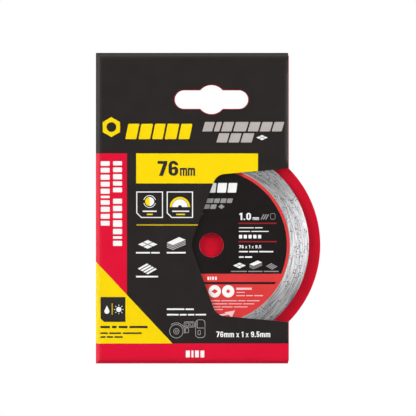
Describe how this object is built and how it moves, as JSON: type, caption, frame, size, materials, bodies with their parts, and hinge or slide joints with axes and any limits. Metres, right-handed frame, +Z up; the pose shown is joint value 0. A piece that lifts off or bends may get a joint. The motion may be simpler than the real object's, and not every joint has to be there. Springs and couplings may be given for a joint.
{
  "type": "diamond blade",
  "caption": "Continuous-rim diamond tile blade with a round bore, nested on a red pull-out tray card inside a windowed black and red hanging card sleeve.",
  "frame": {"origin": "centre of the blade's bore, halfway through the blade's thickness", "axes": "+Z up towards the hanging slot; the pack's printed front faces -Y; +X is the sleeve's open side, towards which the tray pulls out"},
  "size_m": [0.0876, 0.0034, 0.1212],
  "materials": {
    "core_steel": "satin",
    "rim_sinter": "matte",
    "label_print": "gloss",
    "tray_red": "satin",
    "greyboard": "matte",
    "sleeve_black": "satin",
    "sleeve_red": "satin",
    "glue": "matte"
  },
  "bodies": {
    "sleeve": {"front_panel": "sleeve_black", "back_panel": "sleeve_black", "spine": "sleeve_black", "top_wall": "sleeve_black", "bottom_wall": "sleeve_red", "top_glue_flap": "sleeve_black", "bottom_glue_flap": "sleeve_red", "flap_glue": "glue"},
    "tray": {"tray_card": "tray_red", "nest_board": "greyboard"},
    "blade": {"blade_core": "core_steel", "diamond_rim": "rim_sinter", "blade_label": "label_print"}
  },
  "joints": [
    {"name": "tray_slide", "type": "slide", "parent": "sleeve", "child": "tray", "axis": [1, 0, 0], "range_m": [0, 0.07]},
    {"name": "blade_spin", "type": "hinge", "parent": "tray", "child": "blade", "pos_m": [0, 0, 0], "axis": [0, -1, 0], "continuous": true}
  ]
}
